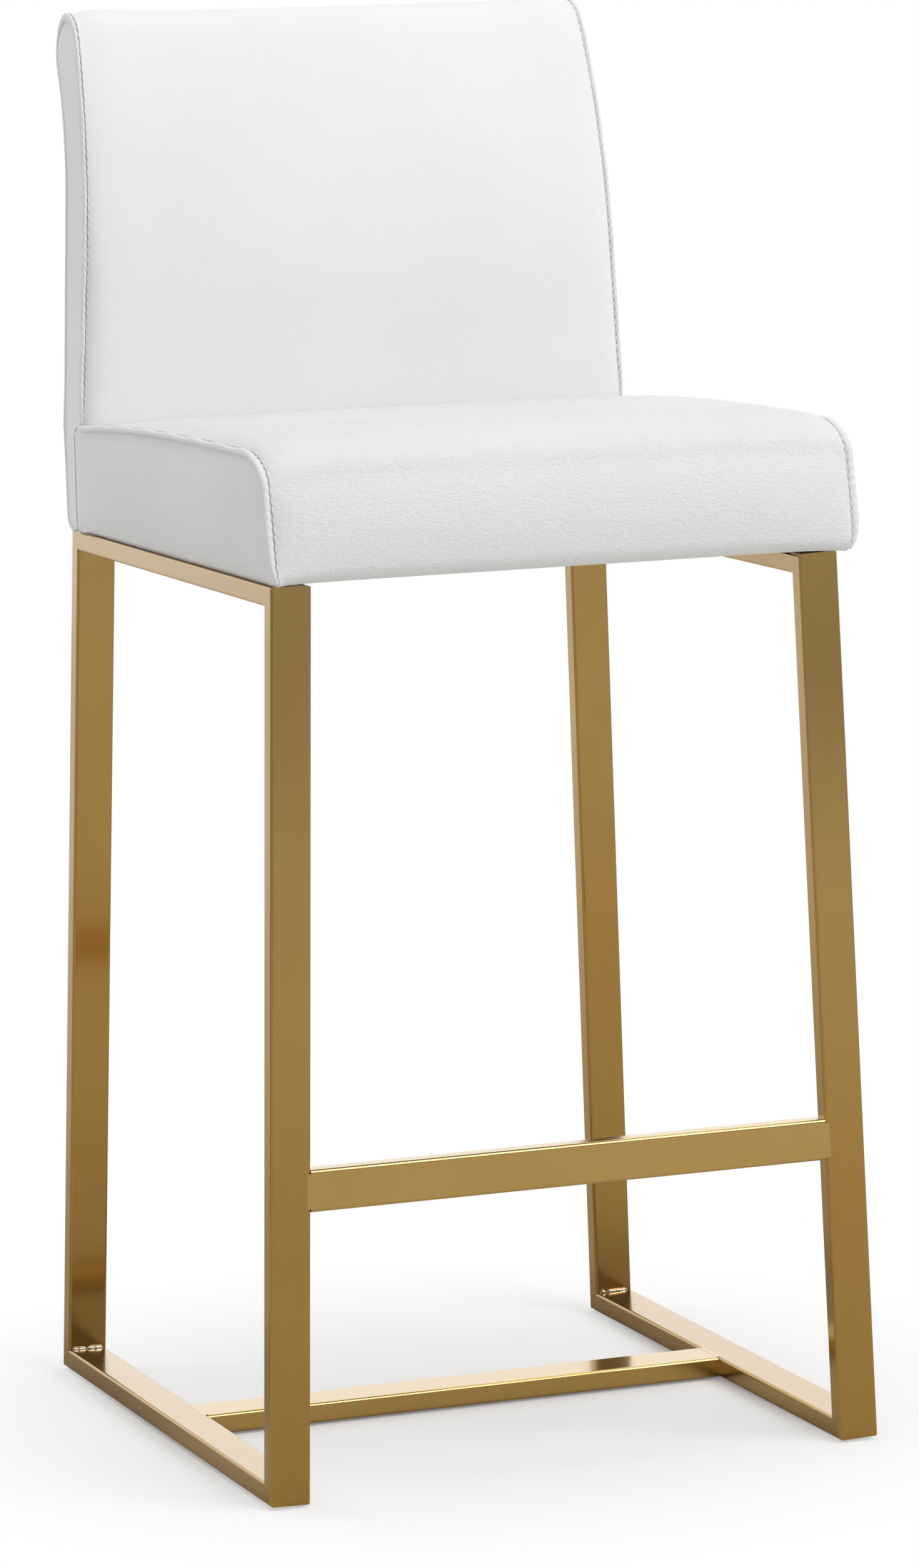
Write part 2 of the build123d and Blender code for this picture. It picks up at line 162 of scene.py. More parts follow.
# Places of the two inputs and the result on a mix node, by kind of data
MIX_SOCKETS = {"FLOAT": ("2", "3", 0), "VECTOR": ("4", "5", 1), "RGBA": ("6", "7", 2)}


class Nodes:
    """Short way to add and join the nodes of one node tree."""

    def __init__(self, tree):
        self.tree = tree

    def add(self, kind, settings=None, **inputs):
        node = self.tree.nodes.new(kind)
        for key, value in (settings or {}).items():
            setattr(node, key, value)
        for key, value in inputs.items():
            self.put(node, key.replace("_", " "), value)
        return node

    def put(self, node, key, value):
        socket = node.inputs[int(key)] if key.isdigit() else node.inputs[key]
        if isinstance(value, bpy.types.NodeSocket):
            self.tree.links.new(value, socket)
        else:
            socket.default_value = value

    def ramp(self, factor, *stops):
        node = self.add("ShaderNodeValToRGB", Fac=factor)
        elements = node.color_ramp.elements
        while len(elements) < len(stops):
            elements.new(0.5)
        for element, (place, colour) in zip(elements, stops):
            element.position = place
            element.color = (*(colour if isinstance(colour, tuple) else (colour,) * 3), 1)
        return node.outputs["Color"]

    def fed(self, kind, settings, *sources):
        node = self.add(kind, settings)
        for number, source in enumerate(sources):
            self.put(node, str(number), source)
        return node

    def math(self, operation, first, second):
        return self.fed("ShaderNodeMath", {"operation": operation}, first, second).outputs[0]

    def spread(self, value, low, high, to_low, to_high):
        node = self.add("ShaderNodeMapRange", Value=value)
        limits = {"From Min": low, "From Max": high, "To Min": to_low, "To Max": to_high}
        for key, number in limits.items():
            node.inputs[key].default_value = number
        return node.outputs["Result"]

    def mix(self, kind, factor, first, second, blend="MIX"):
        node = self.add("ShaderNodeMix", {"data_type": kind, "blend_type": blend}, Factor=factor)
        first_socket, second_socket, result = MIX_SOCKETS[kind]
        self.put(node, first_socket, first)
        self.put(node, second_socket, second)
        return node.outputs[result]

    def stretched(self, scale=(1, 1, 1)):
        place = self.add("ShaderNodeTexCoord").outputs["Object"]
        return self.add("ShaderNodeMapping", Vector=place, Scale=scale).outputs["Vector"]

    def noise(self, vector, scale, detail=2.0, roughness=0.5):
        node = self.add("ShaderNodeTexNoise", Vector=vector, Scale=scale, Detail=detail,
                        Roughness=roughness)
        return node.outputs["Fac"]

    def clouds(self, scale, detail=2.0, roughness=0.5):
        return self.noise(self.stretched(), scale, detail, roughness)


def new_material(name, **constants):
    """A material with one principled shader; constants go on the shader's own sockets."""
    material = bpy.data.materials.new(name)
    material.use_nodes = True
    shader = material.node_tree.nodes["Principled BSDF"]
    for key, value in constants.items():
        shader.inputs[key.replace("_", " ")].default_value = value
    return material, shader, Nodes(material.node_tree)


def bump(nodes, shader, height, depth, strength=1.0):
    """Fine relief of the given depth."""
    node = nodes.add("ShaderNodeBump", Height=height, Strength=strength, Distance=depth)
    nodes.put(shader, "Normal", node.outputs["Normal"])


def surface(nodes, shader, colour, roughness, relief):
    """Colour, roughness and fine relief: each takes a pattern and its values."""
    nodes.put(shader, "Base Color", nodes.ramp(*colour))
    nodes.put(shader, "Roughness", nodes.spread(*roughness))
    bump(nodes, shader, *relief)


LEATHER_TINT = (0.994, 1.0, 0.995)
LEATHER_ROUGHNESS = (0.40, 0.56)
PEBBLE_STRETCH = (0.62, 0.85, 1.35)
PEBBLE_SCALE = 680.0
PEBBLE_DRIFT = 0.0030
DRIFT_SCALE = 260.0
FOLD_STRETCH = (0.4, 0.7, 1.3)
FOLD_SCALE = 330.0
FOLD_SHARE = 1.6
SHADE_SCALE = 9.0


def leather(name, grain_depth, tones_and_painted_shade):
    """White coated fabric with a pebbled grain of about 1.5 mm, drawn out into level wrinkles."""
    material, shader, nodes = new_material(name, Specular_IOR_Level=0.42)
    place = nodes.stretched(PEBBLE_STRETCH)
    drift = nodes.add("ShaderNodeTexNoise", Vector=place, Scale=DRIFT_SCALE, Detail=2.0)
    moved = nodes.mix("VECTOR", PEBBLE_DRIFT, place, drift.outputs["Color"])
    cells = nodes.add("ShaderNodeTexVoronoi", {"feature": "SMOOTH_F1"}, Vector=moved,
                      Scale=PEBBLE_SCALE, Smoothness=0.6)
    pebbles = cells.outputs["Distance"]
    folds = nodes.noise(nodes.stretched(FOLD_STRETCH), FOLD_SCALE, 4.0, 0.65)
    height = nodes.math("SUBTRACT", nodes.math("MULTIPLY", folds, FOLD_SHARE), pebbles)
    shade = nodes.clouds(SHADE_SCALE, 3.0)
    # The two tones vary at random within a piece; their level differs from piece to piece as
    # painted light and shade
    dark, pale = (tuple(level * part for part in LEATHER_TINT) for level in tones_and_painted_shade)
    surface(nodes, shader, (shade, (0.3, dark), (0.7, pale)),
            (pebbles, 0.1, 0.7, *LEATHER_ROUGHNESS), (height, grain_depth))
    return material


def thread():
    """Twisted white sewing thread."""
    material, shader, nodes = new_material("sewing_thread", Roughness=0.7)
    twist = nodes.clouds(2600.0, 1.0)
    tints = (0.3, (0.70, 0.70, 0.69)), (0.7, (0.86, 0.86, 0.85))
    nodes.put(shader, "Base Color", nodes.ramp(twist, *tints))
    bump(nodes, shader, twist, 0.15 * MM)
    return material


GOLD_DEEP = (0.570, 0.355, 0.095)
GOLD_PALE = (0.630, 0.400, 0.115)
# Colour gain of the bars that run across: painted light, as if their faces caught the overhead lamp
CROSSWISE_PAINTED_LIGHT = (1.25, 1.36, 1.70)
GOLD_ROUGHNESS = (0.16, 0.19)
BRUSH_FINE = 1600.0
BRUSH_LONG = 30.0
BRUSH_SHARE = 0.35
BRUSH_DEPTH = 0.002 * MM
SCUFF_SCALE = 75.0
SCUFF_ROUGHNESS = 0.05


def brushed_gold(name, along, lift=(1.0, 1.0, 1.0)):
    """Gold-coloured satin steel, very finely brushed along one axis; lift raises its colour as
    painted light.
    """
    material, shader, nodes = new_material(
        name, Metallic=1.0, Anisotropic=0.75, Coat_Weight=1.0, Coat_Roughness=0.10)
    scale = tuple(BRUSH_LONG if axis == along else BRUSH_FINE for axis in "xyz")
    streaks = nodes.noise(nodes.stretched(scale), 1.0, 3.0, 0.5)
    clouds = nodes.clouds(12.0, 4.0, 0.6)
    scuffs = nodes.ramp(nodes.clouds(SCUFF_SCALE, 5.0, 0.7), (0.68, 0.0), (0.76, 1.0))
    tone = nodes.math("ADD", nodes.math("MULTIPLY", streaks, BRUSH_SHARE),
                      nodes.math("MULTIPLY", clouds, 1 - BRUSH_SHARE))
    # lift brightens both tones: painted light
    deep = tuple(part * more for part, more in zip(GOLD_DEEP, lift))
    pale = tuple(part * more for part, more in zip(GOLD_PALE, lift))
    nodes.put(shader, "Base Color", nodes.ramp(tone, (0.30, deep), (0.70, pale)))
    satin = nodes.spread(streaks, 0.3, 0.7, *GOLD_ROUGHNESS)
    worn = nodes.math("MULTIPLY", scuffs, SCUFF_ROUGHNESS)
    nodes.put(shader, "Roughness", nodes.math("ADD", satin, worn))
    bump(nodes, shader, streaks, BRUSH_DEPTH, 0.5)
    normal = nodes.add("ShaderNodeNewGeometry").outputs["Normal"]
    brushed_way = tuple(float(axis == along) for axis in "xyz")
    lines = nodes.fed("ShaderNodeVectorMath", {"operation": "CROSS_PRODUCT"}, normal, brushed_way)
    nodes.put(shader, "Tangent", lines.outputs["Vector"])
    return material


def weld_metal():
    """Bright, heat-tinted weld bead."""
    material, shader, nodes = new_material("weld_metal", Metallic=1.0)
    heat = nodes.clouds(140.0, 3.0)
    tints = (0.30, (0.55, 0.40, 0.20)), (0.50, (0.80, 0.70, 0.50)), (0.70, (0.92, 0.88, 0.78))
    surface(nodes, shader, (heat, *tints), (heat, 0.3, 0.7, 0.05, 0.14),
            (nodes.clouds(900.0, 3.0), 0.03 * MM))
    return material


def zinc():
    """Blue-white zinc plating."""
    material, shader, nodes = new_material("zinc_plate", Metallic=1.0)
    cloud = nodes.clouds(220.0, 4.0, 0.65)
    tints = (0.3, (0.50, 0.53, 0.57)), (0.7, (0.70, 0.72, 0.74))
    surface(nodes, shader, (cloud, *tints), (cloud, 0.3, 0.7, 0.28, 0.48), (cloud, 0.03 * MM))
    return material


def plywood():
    """Birch plywood: long grain on the faces, thin plies on the edges."""
    material, shader, nodes = new_material("birch_plywood", Specular_IOR_Level=0.3)
    grain = nodes.noise(nodes.stretched((420.0, 16.0, 420.0)), 1.0, 4.0, 0.6)
    wave = nodes.add("ShaderNodeTexWave", {"bands_direction": "Z"}, Scale=165.0, Distortion=0.4)
    nodes.put(wave, "Vector", nodes.stretched())
    plies = nodes.math("MULTIPLY", wave.outputs["Fac"], 0.35)
    tone = nodes.math("ADD", nodes.math("MULTIPLY", grain, 0.75), plies)
    tints = (0.3, (0.42, 0.27, 0.14)), (0.8, (0.72, 0.55, 0.35))
    surface(nodes, shader, (tone, *tints), (grain, 0.3, 0.7, 0.55, 0.75), (tone, 0.15 * MM))
    return material


def dust_cloth():
    """Black spun-bonded cloth with its fine square dimples."""
    material, shader, nodes = new_material("dust_cloth", Specular_IOR_Level=0.2)
    fibres = nodes.noise(nodes.stretched((1400.0, 300.0, 700.0)), 1.0, 3.0, 0.7)
    dimples = nodes.add("ShaderNodeTexVoronoi", Vector=nodes.stretched(),
                        Scale=620.0, Randomness=0.1)
    height = nodes.math("ADD", fibres, nodes.math("MULTIPLY", dimples.outputs["Distance"], 0.8))
    tints = (0.3, (0.008, 0.008, 0.009)), (0.9, (0.040, 0.040, 0.043))
    surface(nodes, shader, (height, *tints), (fibres, 0.3, 0.7, 0.75, 0.95), (height, 0.12 * MM))
    return material


def foam():
    """Open-cell foam, out of sight under the covers."""
    material, shader, nodes = new_material("cushion_foam", Specular_IOR_Level=0.1)
    voronoi = nodes.add("ShaderNodeTexVoronoi", Vector=nodes.stretched(), Scale=900.0)
    cells = voronoi.outputs["Distance"]
    tints = (0.2, (0.62, 0.58, 0.44)), (0.7, (0.80, 0.77, 0.63))
    surface(nodes, shader, (cells, *tints), (cells, 0.2, 0.7, 0.85, 0.98), (cells, 0.4 * MM))
    return material


def glide_nylon():
    """Milky nylon, scuffed by the floor."""
    material, shader, nodes = new_material("glide_nylon", Subsurface_Weight=0.15)
    shader.inputs["Subsurface Radius"].default_value = (2 * MM, 2 * MM, 2 * MM)
    scuff = nodes.clouds(320.0, 5.0, 0.7)
    tints = (0.35, (0.70, 0.69, 0.67)), (0.65, (0.82, 0.81, 0.79))
    surface(nodes, shader, (scuff, *tints), (scuff, 0.3, 0.7, 0.35, 0.60), (scuff, 0.06 * MM))
    return material


def steps(cells):
    """Shares of a way at the end of each of its cells."""
    return [i / cells for i in range(1, cells + 1)]


def straight(start, end, cells):
    """Points after start on a straight way to end. Points of an outline are y + z * 1j."""
    return [start + (end - start) * share for share in steps(cells)]


def arc(start, end, rise, cells):
    """Points after start on an arc that swells by rise to the left of the way to end."""
    half = abs(end - start) / 2
    if abs(rise) < TINY:
        return straight(start, end, cells)
    left = 1j * (end - start) / (2 * half)
    radius = (half ** 2 + rise ** 2) / (2 * rise)
    centre = (start + end) / 2 + left * (rise - radius)
    turn = 4 * atan(rise / half)
    return [centre + (start - centre) * turned_by(-1j * turn * share) for share in steps(cells)]


def quarter(start, end, cells, upright=False):
    """Points after start on a quarter of an ellipse that leaves start level, or upright."""
    corner = complex(start.real, end.imag) if upright else complex(end.real, start.imag)
    angles = [pi / 2 * share for share in steps(cells)]
    return [start + (corner - start) * sin(angle) + (end - corner) * (1 - cos(angle))
            for angle in angles]


def rolled(start, end, way, cells):
    """Points after start on a bend that leaves start level, forward, and reaches end along way."""
    first = start - BEND_SHARE * (start.real - end.real)
    last = end - BEND_SHARE * (end.imag - start.imag) * way
    return [start * (1 - t) ** 3 + 3 * first * t * (1 - t) ** 2
            + 3 * last * t ** 2 * (1 - t) + end * t ** 3 for t in steps(cells)]


def settling(start, end, cells):
    """Points after start on a way that runs level at first and then drops to end."""
    way = end - start
    return [start + complex(way.real * share, way.imag * share ** 3) for share in steps(cells)]


def seat_top(start, end, crown, cells):
    """Points after start along the seat's top, with a crown that falls evenly to the rear."""
    fall = (SEAT_CROWN_REAR - SEAT_CROWN) * crown
    level = settling(start, end - 1j * fall, cells)
    return [point + 1j * fall * share for point, share in zip(level, steps(cells))]


def resampled(points, cells):
    """The same way in equal steps."""
    lengths = [0.0]
    for before, after in zip(points, points[1:]):
        lengths.append(lengths[-1] + abs(after - before))
    result, k = [], 0
    for i in range(cells + 1):
        wanted = lengths[-1] * i / cells
        while k < len(points) - 2 and lengths[k + 1] < wanted:
            k += 1
        share = (wanted - lengths[k]) / max(lengths[k + 1] - lengths[k], TINY)
        result.append(points[k] + (points[k + 1] - points[k]) * min(max(share, 0.0), 1.0))
    return result


def face_swell(crown):
    """How far the back's face stands forward where the crown has this share of its height."""
    return FACE_CROWN * (1 - (1 - crown) ** FACE_FULLNESS)


def seat_corners(crown):
    """Named corners of the seat's outline where the crown has this share of its height."""
    high = seat_base + SEAT_HEIGHT_FRONT + SEAT_CROWN * crown
    rear = face - SEAM_GAP - face_swell(crown)
    low = seat_base + SEAT_LIFT
    full = max(0.0, crown)
    return {
        "under": complex(seat_front + ROLL + ROLL_DEPTH_GAIN * full, low),
        "front_low": complex(seat_front, low + ROLL + ROLL_HEIGHT_GAIN * full),
        "front_high": complex(seat_front + SEAT_LEAN, high - SEAT_EDGE_HEIGHT),
        "front_top": complex(seat_front + SEAT_LEAN + SEAT_EDGE_DEPTH, high),
        "rear_top": complex(rear, seat_top_rear + SEAT_CROWN_REAR * crown),
        "rear_low": complex(rear, seat_base + COVER),
    }


def seat_stretches(crown):
    """The seat's outline in stretches: underneath, roll, front, edge, top and rear."""
    at = seat_corners(crown)
    inner = at["under"] + complex(ROLL, COVER - SEAT_LIFT)
    front = at["front_high"] - at["front_low"]
    bulge = FRONT_BULGE * crown + FRONT_ROUND
    upward = front / abs(front) * turned_by(2j * atan(2 * bulge / abs(front)))
    under = straight(at["rear_low"], inner, LENGTH_CELLS - HEM_CELLS)
    return [
        under + straight(inner, at["under"], HEM_CELLS),
        rolled(at["under"], at["front_low"], upward, ROLL_CELLS),
        arc(at["front_low"], at["front_high"], bulge, FRONT_CELLS),
        quarter(at["front_high"], at["front_top"], EDGE_CELLS, upright=True),
        seat_top(at["front_top"], at["rear_top"], crown, LENGTH_CELLS),
        straight(at["rear_top"], at["rear_low"], REAR_CELLS),
    ]


def back_corners(crown):
    """Named corners of the back's outline, and the points along its two long arcs."""
    front = face - face_swell(crown)
    top_rise = TOP_CROWN * crown + TOP_PUFF * max(0.0, crown) ** 3 * (1 - crown)
    cap = complex(back_reach - CAP_RADIUS, seat_base + BACK_HEIGHT - CAP_RADIUS + top_rise)
    cap_front = cap + CAP_RADIUS * complex(-cos(FACE_LEAN), sin(FACE_LEAN))
    cap_rear = cap + CAP_RADIUS * complex(cos(REAR_LEAN), -sin(REAR_LEAN))
    face_radius = (cap_front.real - front) / (1 - cos(FACE_LEAN))
    rear = complex(face + BACK_FOOT, seat_base + REAR_ROLL)
    over = (cap_rear - rear).real - (cap_rear - rear).imag * tan(REAR_SLOPE)
    bend_back = complex(cos(REAR_SLOPE) - cos(REAR_LEAN), sin(REAR_LEAN) - sin(REAR_SLOPE))
    rear_radius = over / (bend_back.real - bend_back.imag * tan(REAR_SLOPE))
    bend = complex(front, cap_front.imag - face_radius * sin(FACE_LEAN))
    rear_bend = cap_rear - rear_radius * bend_back
    lean_swell = face_radius * (1 - cos(FACE_LEAN / 2))
    sweep_swell = -rear_radius * (1 - cos((REAR_LEAN - REAR_SLOPE) / 2))
    return {
        "foot": complex(front, seat_base + COVER),
        "bend": bend,
        "lean": arc(bend, cap_front, lean_swell, LEAN_CELLS),
        "cap_front": cap_front,
        "cap_top": cap + CAP_RADIUS * 1j,
        "cap_rear": cap_rear,
        "sweep": arc(cap_rear, rear_bend, sweep_swell, SWEEP_CELLS),
        "rear_bend": rear_bend,
        "rear": rear,
        "rear_low": rear - complex(REAR_ROLL, REAR_ROLL),
    }


def cap_arcs(at, front_cells, rear_cells):
    """Points over the round top, from its front to its rear."""
    front_swell = CAP_RADIUS * (1 - cos((pi / 2 - FACE_LEAN) / 2))
    rear_swell = CAP_RADIUS * (1 - cos((pi / 2 + REAR_LEAN) / 2))
    return (arc(at["cap_front"], at["cap_top"], front_swell, front_cells)
            + arc(at["cap_top"], at["cap_rear"], rear_swell, rear_cells))


def back_stretches(crown):
    """The back's outline in stretches: foot, face, lean, cap, sweep, rear, roll and underneath."""
    at = back_corners(crown)
    seat_level = complex(at["foot"].real, seat_top_rear)
    front_cells = CAP_CELLS // 3
    return [
        straight(at["foot"], seat_level, REAR_CELLS),
        straight(seat_level, at["bend"], FACE_CELLS),
        at["lean"],
        cap_arcs(at, front_cells, CAP_CELLS - front_cells),
        at["sweep"],
        straight(at["rear_bend"], at["rear"], BACK_CELLS),
        quarter(at["rear"], at["rear_low"], ROLL_CELLS, upright=True),
        straight(at["rear_low"], at["foot"], ROLL_CELLS),
    ]


def back_half(height):
    """Half the width of the back at a height: upright beside the seat, narrower above it."""
    above = max(0.0, height - seat_top_rear)
    share = above / (BACK_HEIGHT - SEAT_HEIGHT_REAR)
    return half_width - BACK_NARROWING * share + BACK_EASE * min(1.0, above / EASE_RISE)


def seat_half(height):
    """Half the width of the seat at a height: drawn in a little at the foot."""
    lack = max(0.0, 1 - (height - seat_base) / PINCH_RISE)
    return half_width - SEAT_PINCH * lack ** 2


def across(cells):
    """Shares of the half width from one side to the other, closer together near the seams."""
    even = [2 * i / cells - 1 for i in range(cells + 1)]
    return [ACROSS_EVEN * t + (1 - ACROSS_EVEN) * sin(pi / 2 * t) for t in even]


def crown_share(place):
    """Share of the crown at a place across: plump beside the seams, creased at them."""
    inward = (1 - abs(place)) * half_width
    plump = 1 - exp(-inward / CROWN_EDGE_RUN)
    tucked = CREASE_SHARE * exp(-inward / CREASE_RUN)
    return (1 - CROWN_EDGE) * (1 - abs(place) ** CROWN_POWER) + CROWN_EDGE * plump - tucked


def skin(rings):
    """Points and faces of a closed body through rings of points."""
    count = len(rings[0])
    points = [point for ring in rings for point in ring]
    faces = [tuple(range(count)), tuple(range(len(points) - count, len(points)))]
    for i in range(len(rings) - 1):
        for j in range(count):
            a, b = i * count + j, i * count + (j + 1) % count
            faces.append((a, b, b + count, a + count))
    return points, faces


def joined(bodies):
    """Points and faces of several closed bodies in one mesh, each body given by its rings."""
    points, faces = [], []
    for rings in bodies:
        body_points, body_faces = skin(rings)
        faces += [tuple(i + len(points) for i in face) for face in body_faces]
        points += body_points
    return points, faces


def turns(count):
    """Angles of so many even places round a circle."""
    return [2 * pi * k / count for k in range(count)]


def add_piece(name, points, faces, material, slot="white_leather"):
    """A closed mesh piece that rides on the stool."""
    mesh = bpy.data.meshes.new(name)
    mesh.from_pydata([tuple(point) for point in points], [], faces)
    shell = bmesh.new()
    shell.from_mesh(mesh)
    wide = [face for face in shell.faces if len(face.verts) > 4]
    bmesh.ops.triangulate(shell, faces=wide, ngon_method="BEAUTY")
    bmesh.ops.recalc_face_normals(shell, faces=shell.faces)
    shell.to_mesh(mesh)
    shell.free()
    mesh.shade_smooth()
    mesh.materials.append(material)
    piece = bpy.data.objects.new(name, mesh)
    scene.collection.objects.link(piece)
    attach(piece, "root")
    return piece


def crease(piece, sharp):
    """Keeps the edges between these points sharp when the mesh is subdivided."""
    mesh = piece.data
    marks = mesh.attributes.new("crease_edge", "FLOAT", "EDGE")
    for edge in mesh.edges:
        if edge.vertices[0] in sharp and edge.vertices[1] in sharp:
            marks.data[edge.index].value = 1.0


SIM_FRAMES = 20
SIM_QUALITY = 6


def inflate(piece, held, pressure, cap):
    """Swells a closed mesh by a short cloth simulation in which the held points stay."""
    start = [vertex.co.copy() for vertex in piece.data.vertices]
    group = piece.vertex_groups.new(name="held")
    group.add(sorted(held), 1.0, "REPLACE")
    cloth = piece.modifiers.new("inflate", "CLOTH")
    cloth.settings.vertex_group_mass = "held"
    cloth.settings.quality = SIM_QUALITY
    cloth.settings.use_pressure = True
    cloth.settings.uniform_pressure_force = pressure
    cloth.settings.effector_weights.gravity = 0
    cloth.collision_settings.use_collision = False
    for number in range(1, SIM_FRAMES + 1):
        scene.frame_set(number)
    graph = bpy.context.evaluated_depsgraph_get()
    swollen = bpy.data.meshes.new_from_object(piece.evaluated_get(graph))
    moves = [vertex.co - at for vertex, at in zip(swollen.vertices, start)]
    piece.modifiers.remove(cloth)
    piece.vertex_groups.remove(group)
    bpy.data.meshes.remove(swollen)
    for vertex, at, move in zip(piece.data.vertices, start, moves):
        vertex.co = at + move * min(1.0, cap / max(move.length, TINY))
    scene.frame_set(1)


def smooth(piece):
    """Subdivides the mesh once, in view and in the render alike."""
    modifier = piece.modifiers.new("smooth", "SUBSURF")
    modifier.levels = 1
    modifier.render_levels = 1


SEAT_PRESSURE = 0.6
BACK_PRESSURE = 0.25
BODY_CAP = 4.0 * MM
SIDE_PRESSURE = 4.0
BAND_PRESSURE = 1.0
PANEL_CAP = 3.0 * MM
SEAT_SIDE_PUFF = 4.0 * MM
BACK_BAND_PUFF = -0.8 * MM
TUCK = 0.8 * MM
SHOULDER_TUCK = 0.05 * MM
FRONT_FULLNESS = 12
REAR_FULLNESS = 3
ROW_FULLNESS = 5


def cushion(name, stretches, half_at, free, sharp_ends, pressure, material):
    """Closed cushion through the outline at many places across, swollen between its seams."""
    rings = []
    for share in across(ACROSS_CELLS):
        outline = [point for stretch in stretches(crown_share(share)) for point in stretch]
        rings.append([Vector((share * (half_at(p.imag) - COVER), p.real, p.imag)) for p in outline])
    piece = add_piece(name, *skin(rings), material)
    count = len(rings[0])
    ends = [0]
    for stretch in stretches(0):
        ends.append(ends[-1] + len(stretch))
    loose = {j for i in free for j in range(ends[i], ends[i + 1] - 1)}
    sides = set(range(count)) | set(range(count * ACROSS_CELLS, count * (ACROSS_CELLS + 1)))
    held = {i for i in range(len(piece.data.vertices)) if i % count not in loose} | sides
    inflate(piece, held, pressure, BODY_CAP)
    sharp = {ends[i] - 1 + count * k for i in sharp_ends for k in range(ACROSS_CELLS + 1)}
    crease(piece, sides | sharp)
    smooth(piece)
    return piece


def patch(low, high, front, rear):
    """Rows of points inside four sides; low and high run one way, front and rear the other."""
    columns, rows = len(low) - 1, len(front) - 1
    grid = []
    for j in range(rows + 1):
        v = j / rows
        line = []
        for i in range(columns + 1):
            u = i / columns
            between_rows = low[i] * (1 - v) + high[i] * v
            between_columns = front[j] * (1 - u) + rear[j] * u
            low_corners = (low[0] * (1 - u) + low[-1] * u) * (1 - v)
            high_corners = (high[0] * (1 - u) + high[-1] * u) * v
            line.append(between_rows + between_columns - (low_corners + high_corners))
        grid.append(line)
    return grid


def panel(name, side, grid, half_at, node, puff, pressure, material):
    """Side panel: flat against the cushion inside, swollen between its seams outside."""
    rows, columns = len(grid), len(grid[0])
    points, outer, inner = [], {}, {}
    for j, line in enumerate(grid):
        for i, p in enumerate(line):
            edge = j in (0, rows - 1) or i in (0, columns - 1)
            along = 2 * i / (columns - 1) - 1
            upward = 2 * j / (rows - 1) - 1
            power = REAR_FULLNESS if along > 0 else FRONT_FULLNESS
            fullness = (1 - abs(upward) ** ROW_FULLNESS) * (1 - abs(along) ** power)
            settle = min(1.0, max(0.0, (shoulder - p.real) / PINCH_RUN))
            half = back_half(p.imag) * (1 - settle) + half_at(p.imag) * settle
            beside = abs(p.real - shoulder) < SHOULDER_RADIUS + SHOULDER_NEAR
            plain = beside and p.imag < seat_top_rear + SHOULDER_NEAR
            tuck = SHOULDER_TUCK if plain else TUCK
            lift = -tuck if edge else puff * fullness
            outer[i, j] = len(points)
            points.append(Vector((side * (half + lift), p.real, p.imag)))
            inner[i, j] = outer[i, j]
            if not edge:
                inner[i, j] = len(points)
                points.append(Vector((side * (half - COVER), p.real, p.imag)))
    faces = []
    for layer in (outer, inner):
        for j in range(rows - 1):
            for i in range(columns - 1):
                cell = (layer[i, j], layer[i + 1, j], layer[i + 1, j + 1], layer[i, j + 1])
                if i in (0, columns - 2) and j in (0, rows - 2):
                    turned = cell if (i == 0) == (j == 0) else cell[1:] + cell[:1]
                    faces += [turned[:3], turned[2:] + turned[:1]]
                else:
                    faces.append(cell)
    piece = add_piece(name, points, faces, material)
    free = {outer[i, j] for i in range(1, columns - 1) for j in range(1, rows - 1)}
    inflate(piece, set(range(len(points))) - free, pressure, PANEL_CAP)
    crease(piece, {outer[place] for place in outer if outer[place] == inner[place]})
    smooth(piece)
    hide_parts(node)


def seat_panel_grid():
    """The seat's side panel; its upper edge runs a little way beside the back."""
    at = seat_corners(0)
    roll = [at["under"]] + quarter(at["under"], at["front_low"], ROLL_CELLS)
    front = arc(at["front_low"], at["front_high"], FRONT_ROUND, FRONT_CELLS)
    edge = [at["front_high"]] + quarter(at["front_high"], at["front_top"], EDGE_CELLS, upright=True)
    turn = [shoulder_high] + quarter(shoulder_high, shoulder_low, SHOULDER_CELLS)
    half_turn = SHOULDER_CELLS // 2
    foot = complex(shoulder, seat_base + SEAT_LIFT)
    top = settling(at["front_top"], shoulder_high, LENGTH_CELLS)
    low = resampled(roll[ROLL_CELLS // 2::-1] + [foot], PANEL_COLUMNS)
    high = resampled(edge[EDGE_CELLS // 2:] + top + turn[1:half_turn + 1], PANEL_COLUMNS)
    front_side = resampled(roll[ROLL_CELLS // 2:] + front + edge[1:EDGE_CELLS // 2 + 1], PANEL_ROWS)
    rear_side = resampled([foot] + turn[:half_turn - 1:-1], PANEL_ROWS)
    return patch(low, high, front_side, rear_side)


def back_band_grid():
    """The back's side band, narrow beside the seat's panel and full depth above it."""
    at = back_corners(0)
    turn_start = shoulder_low + SEAM_GAP
    turn_end = shoulder_high + complex(SEAM_GAP, SEAM_GAP)
    level = complex(face, seat_top_rear + SEAM_GAP)
    foot = complex(shoulder + SEAM_GAP, seat_base)
    turn = quarter(turn_start, turn_end, SHOULDER_CELLS, upright=True)
    front = [foot, turn_start] + turn + [level, at["bend"]] + at["lean"]
    cap = [at["cap_front"]] + cap_arcs(at, CAP_CELLS, CAP_CELLS)
    roll = [at["rear"]] + quarter(at["rear"], at["rear_low"], ROLL_CELLS, upright=True)
    rear = [at["cap_rear"]] + at["sweep"] + roll[:ROLL_CELLS // 2 + 1]
    low = [foot] + roll[:ROLL_CELLS // 2 - 1:-1]
    return patch(resampled(front, BAND_COLUMNS), resampled(rear[::-1], BAND_COLUMNS),
                 resampled(low, BAND_ROWS), resampled(cap, BAND_ROWS))


WELT_STEP = 1.4 * MM
WELT_PROUD = 0.3 * MM
WELT_SIDES = 12
WELT_CLOSE = 14
WELT_END = 0.30
WELT_REAR = 0.5
WELT_REAR_WIDTH = 0.4
PUCKER = 0.36 * MM
PUCKER_DRIFT = 7.3 * MM
SEAT_WELT = (2.0 * MM, 2.6 * MM)
BACK_WELT = (2.75 * MM, 1.7 * MM)


def run_length(points):
    return sum(abs(after - before) for before, after in zip(points, points[1:]))


